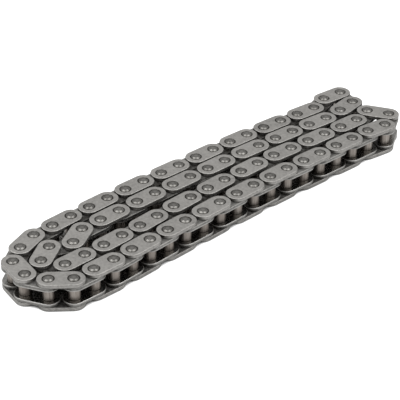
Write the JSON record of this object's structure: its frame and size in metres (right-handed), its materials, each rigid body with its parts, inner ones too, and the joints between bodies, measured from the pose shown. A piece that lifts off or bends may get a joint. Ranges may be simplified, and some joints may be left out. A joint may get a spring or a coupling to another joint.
{
  "type": "timing chain",
  "caption": "Endless bush chain for an engine's camshaft drive, laid on its side in folded strands, with outer links riveted on pins that turn in the bushes of the inner links.",
  "frame": {"origin": "middle of the folded chain's outline, on the surface that the lower pin ends rest on", "axes": "+X along the strands, away from the wide bend; +Y across them, to the back strand; +Z along the pins, upwards"},
  "size_m": [0.1336, 0.0288, 0.0086],
  "materials": {
    "outer_plate_steel": "tumbled satin steel, warm grey, rolled edges",
    "inner_plate_steel": "tumbled satin steel, warm grey",
    "outer_link_steel": "tumbled satin steel plates with darker riveted pin ends",
    "inner_link_steel": "tumbled satin steel plates on brown-grey bushes",
    "pin_steel": "hardened steel, darker, satin",
    "bush_steel": "hardened steel, brown-grey, semi-polished"
  },
  "bodies": {
    "held_run": {"outer_plates_upper": "outer_plate_steel", "outer_plates_lower": "outer_plate_steel", "inner_plates_upper": "inner_plate_steel", "inner_plates_lower": "inner_plate_steel", "pins": "pin_steel", "bushes": "bush_steel"},
    "link_81": {"outer_link_81": "outer_link_steel"},
    "link_82": {"inner_link_82": "inner_link_steel"},
    "link_01": {"outer_plate_01_upper": "outer_plate_steel", "outer_plate_01_lower": "outer_plate_steel", "pin_01": "pin_steel", "pin_02": "pin_steel"},
    "link_02": {"inner_plate_02_upper": "inner_plate_steel", "inner_plate_02_lower": "inner_plate_steel", "bush_02": "bush_steel", "bush_03": "bush_steel"},
    "link_03": {"outer_link_03": "outer_link_steel"},
    "link_04": {"inner_link_04": "inner_link_steel"},
    "link_05": {"outer_link_05": "outer_link_steel"},
    "link_06": {"inner_link_06": "inner_link_steel"},
    "link_07": {"outer_link_07": "outer_link_steel"},
    "link_08": {"inner_link_08": "inner_link_steel"},
    "link_09": {"outer_link_09": "outer_link_steel"},
    "link_10": {"inner_link_10": "inner_link_steel"},
    "link_11": {"outer_link_11": "outer_link_steel"},
    "link_12": {"inner_link_12": "inner_link_steel"},
    "link_13": {"outer_link_13": "outer_link_steel"},
    "link_14": {"inner_link_14": "inner_link_steel"},
    "link_15": {"outer_link_15": "outer_link_steel"},
    "link_16": {"inner_link_16": "inner_link_steel"},
    "link_17": {"outer_link_17": "outer_link_steel"},
    "link_18": {"inner_link_18": "inner_link_steel"},
    "link_19": {"outer_link_19": "outer_link_steel"},
    "link_20": {"inner_link_20": "inner_link_steel"},
    "link_42": {"inner_link_42": "inner_link_steel"},
    "link_41": {"outer_link_41": "outer_link_steel"},
    "link_40": {"inner_link_40": "inner_link_steel"},
    "link_39": {"outer_link_39": "outer_link_steel"},
    "link_38": {"inner_link_38": "inner_link_steel"},
    "link_37": {"outer_link_37": "outer_link_steel"},
    "link_36": {"inner_link_36": "inner_link_steel"},
    "link_35": {"outer_link_35": "outer_link_steel"},
    "link_34": {"inner_link_34": "inner_link_steel"},
    "link_33": {"outer_link_33": "outer_link_steel"},
    "link_32": {"inner_link_32": "inner_link_steel"},
    "link_31": {"outer_link_31": "outer_link_steel"},
    "link_30": {"inner_link_30": "inner_link_steel"},
    "link_29": {"outer_link_29": "outer_link_steel"},
    "link_28": {"inner_link_28": "inner_link_steel"},
    "link_27": {"outer_link_27": "outer_link_steel"},
    "link_26": {"inner_link_26": "inner_link_steel"},
    "link_25": {"outer_link_25": "outer_link_steel"},
    "link_24": {"inner_link_24": "inner_link_steel"},
    "link_23": {"outer_link_23": "outer_link_steel"},
    "link_22": {"inner_link_22": "inner_link_steel"},
    "link_21": {"outer_plate_21_upper": "outer_plate_steel", "outer_plate_21_lower": "outer_plate_steel", "pin_21_ends": "pin_steel", "pin_22": "pin_steel"}
  },
  "joints": [
    {"name": "pin_81_hinge", "type": "hinge", "parent": "held_run", "child": "link_81", "pos_m": [0.06044, -0.00258, 0.00431], "axis": [0, 0, 1], "range_deg": [0, 30]},
    {"name": "pin_82_hinge", "type": "hinge", "parent": "link_81", "child": "link_82", "pos_m": [0.06379, -0.00798, 0.00431], "axis": [0, 0, 1], "range_deg": [0, 45]},
    {"name": "pin_01_hinge", "type": "hinge", "parent": "link_82", "child": "link_01", "pos_m": [0.05843, -0.01138, 0.00431], "axis": [0, 0, 1], "range_deg": [0, 20]},
    {"name": "pin_02_hinge", "type": "hinge", "parent": "link_01", "child": "link_02", "pos_m": [0.05214, -0.01056, 0.00431], "axis": [0, 0, 1], "range_deg": [0, 15]},
    {"name": "pin_03_hinge", "type": "hinge", "parent": "link_02", "child": "link_03", "pos_m": [0.04579, -0.0104, 0.00431], "axis": [0, 0, 1], "range_deg": [0, 15]},
    {"name": "pin_04_hinge", "type": "hinge", "parent": "link_03", "child": "link_04", "pos_m": [0.03944, -0.01022, 0.00431], "axis": [0, 0, 1], "range_deg": [0, 15]},
    {"name": "pin_05_hinge", "type": "hinge", "parent": "link_04", "child": "link_05", "pos_m": [0.03309, -0.01003, 0.00431], "axis": [0, 0, 1], "range_deg": [0, 15]},
    {"name": "pin_06_hinge", "type": "hinge", "parent": "link_05", "child": "link_06", "pos_m": [0.02675, -0.00983, 0.00431], "axis": [0, 0, 1], "range_deg": [0, 15]},
    {"name": "pin_07_hinge", "type": "hinge", "parent": "link_06", "child": "link_07", "pos_m": [0.0204, -0.00962, 0.00431], "axis": [0, 0, 1], "range_deg": [0, 15]},
    {"name": "pin_08_hinge", "type": "hinge", "parent": "link_07", "child": "link_08", "pos_m": [0.01405, -0.00959, 0.00431], "axis": [0, 0, 1], "range_deg": [0, 15]},
    {"name": "pin_09_hinge", "type": "hinge", "parent": "link_08", "child": "link_09", "pos_m": [0.0077, -0.00962, 0.00431], "axis": [0, 0, 1], "range_deg": [0, 15]},
    {"name": "pin_10_hinge", "type": "hinge", "parent": "link_09", "child": "link_10", "pos_m": [0.00135, -0.00972, 0.00431], "axis": [0, 0, 1], "range_deg": [0, 15]},
    {"name": "pin_11_hinge", "type": "hinge", "parent": "link_10", "child": "link_11", "pos_m": [-0.005, -0.00989, 0.00431], "axis": [0, 0, 1], "range_deg": [0, 15]},
    {"name": "pin_12_hinge", "type": "hinge", "parent": "link_11", "child": "link_12", "pos_m": [-0.01134, -0.01012, 0.00431], "axis": [0, 0, 1], "range_deg": [0, 15]},
    {"name": "pin_13_hinge", "type": "hinge", "parent": "link_12", "child": "link_13", "pos_m": [-0.01769, -0.01027, 0.00431], "axis": [0, 0, 1], "range_deg": [0, 15]},
    {"name": "pin_14_hinge", "type": "hinge", "parent": "link_13", "child": "link_14", "pos_m": [-0.02404, -0.01048, 0.00431], "axis": [0, 0, 1], "range_deg": [0, 15]},
    {"name": "pin_15_hinge", "type": "hinge", "parent": "link_14", "child": "link_15", "pos_m": [-0.03038, -0.01074, 0.00431], "axis": [0, 0, 1], "range_deg": [0, 15]},
    {"name": "pin_16_hinge", "type": "hinge", "parent": "link_15", "child": "link_16", "pos_m": [-0.03672, -0.01106, 0.00431], "axis": [0, 0, 1], "range_deg": [0, 15]},
    {"name": "pin_17_hinge", "type": "hinge", "parent": "link_16", "child": "link_17", "pos_m": [-0.04306, -0.01142, 0.00431], "axis": [0, 0, 1], "range_deg": [0, 15]},
    {"name": "pin_18_hinge", "type": "hinge", "parent": "link_17", "child": "link_18", "pos_m": [-0.04941, -0.01131, 0.00431], "axis": [0, 0, 1], "range_deg": [0, 15]},
    {"name": "pin_19_hinge", "type": "hinge", "parent": "link_18", "child": "link_19", "pos_m": [-0.05576, -0.0112, 0.00431], "axis": [0, 0, 1], "range_deg": [0, 38]},
    {"name": "pin_20_hinge", "type": "hinge", "parent": "link_19", "child": "link_20", "pos_m": [-0.0607, -0.00721, 0.00431], "axis": [0, 0, 1], "range_deg": [0, 22]},
    {"name": "pin_43_hinge", "type": "hinge", "parent": "held_run", "child": "link_42", "pos_m": [0.06095, 0.00381, 0.00431], "axis": [0, 0, 1], "range_deg": [-30, 0]},
    {"name": "pin_42_hinge", "type": "hinge", "parent": "link_42", "child": "link_41", "pos_m": [0.06227, 0.01002, 0.00431], "axis": [0, 0, 1], "range_deg": [-45, 0]},
    {"name": "pin_41_hinge", "type": "hinge", "parent": "link_41", "child": "link_40", "pos_m": [0.05595, 0.01061, 0.00431], "axis": [0, 0, 1], "range_deg": [-20, 0]},
    {"name": "pin_40_hinge", "type": "hinge", "parent": "link_40", "child": "link_39", "pos_m": [0.04986, 0.0088, 0.00431], "axis": [0, 0, 1], "range_deg": [-15, 0]},
    {"name": "pin_39_hinge", "type": "hinge", "parent": "link_39", "child": "link_38", "pos_m": [0.04354, 0.00937, 0.00431], "axis": [0, 0, 1], "range_deg": [-15, 0]},
    {"name": "pin_38_hinge", "type": "hinge", "parent": "link_38", "child": "link_37", "pos_m": [0.03721, 0.00987, 0.00431], "axis": [0, 0, 1], "range_deg": [-15, 0]},
    {"name": "pin_37_hinge", "type": "hinge", "parent": "link_37", "child": "link_36", "pos_m": [0.03087, 0.01029, 0.00431], "axis": [0, 0, 1], "range_deg": [-15, 0]},
    {"name": "pin_36_hinge", "type": "hinge", "parent": "link_36", "child": "link_35", "pos_m": [0.02453, 0.01063, 0.00431], "axis": [0, 0, 1], "range_deg": [-15, 0]},
    {"name": "pin_35_hinge", "type": "hinge", "parent": "link_35", "child": "link_34", "pos_m": [0.01818, 0.01089, 0.00431], "axis": [0, 0, 1], "range_deg": [-15, 0]},
    {"name": "pin_34_hinge", "type": "hinge", "parent": "link_34", "child": "link_33", "pos_m": [0.01184, 0.01107, 0.00431], "axis": [0, 0, 1], "range_deg": [-15, 0]},
    {"name": "pin_33_hinge", "type": "hinge", "parent": "link_33", "child": "link_32", "pos_m": [0.00549, 0.01117, 0.00431], "axis": [0, 0, 1], "range_deg": [-15, 0]},
    {"name": "pin_32_hinge", "type": "hinge", "parent": "link_32", "child": "link_31", "pos_m": [-0.00086, 0.01119, 0.00431], "axis": [0, 0, 1], "range_deg": [-15, 0]},
    {"name": "pin_31_hinge", "type": "hinge", "parent": "link_31", "child": "link_30", "pos_m": [-0.00721, 0.01133, 0.00431], "axis": [0, 0, 1], "range_deg": [-15, 0]},
    {"name": "pin_30_hinge", "type": "hinge", "parent": "link_30", "child": "link_29", "pos_m": [-0.01356, 0.01141, 0.00431], "axis": [0, 0, 1], "range_deg": [-15, 0]},
    {"name": "pin_29_hinge", "type": "hinge", "parent": "link_29", "child": "link_28", "pos_m": [-0.01991, 0.01142, 0.00431], "axis": [0, 0, 1], "range_deg": [-15, 0]},
    {"name": "pin_28_hinge", "type": "hinge", "parent": "link_28", "child": "link_27", "pos_m": [-0.02626, 0.01137, 0.00431], "axis": [0, 0, 1], "range_deg": [-15, 0]},
    {"name": "pin_27_hinge", "type": "hinge", "parent": "link_27", "child": "link_26", "pos_m": [-0.03261, 0.01124, 0.00431], "axis": [0, 0, 1], "range_deg": [-15, 0]},
    {"name": "pin_26_hinge", "type": "hinge", "parent": "link_26", "child": "link_25", "pos_m": [-0.03896, 0.01106, 0.00431], "axis": [0, 0, 1], "range_deg": [-15, 0]},
    {"name": "pin_25_hinge", "type": "hinge", "parent": "link_25", "child": "link_24", "pos_m": [-0.0453, 0.0108, 0.00431], "axis": [0, 0, 1], "range_deg": [-18, 0]},
    {"name": "pin_24_hinge", "type": "hinge", "parent": "link_24", "child": "link_23", "pos_m": [-0.05164, 0.01048, 0.00431], "axis": [0, 0, 1], "range_deg": [-18, 0]},
    {"name": "pin_23_hinge", "type": "hinge", "parent": "link_23", "child": "link_22", "pos_m": [-0.05761, 0.00831, 0.00431], "axis": [0, 0, 1], "range_deg": [-18, 0]},
    {"name": "pin_22_hinge", "type": "hinge", "parent": "link_22", "child": "link_21", "pos_m": [-0.06277, 0.0046, 0.00431], "axis": [0, 0, 1], "range_deg": [-45, 0]}
  ]
}
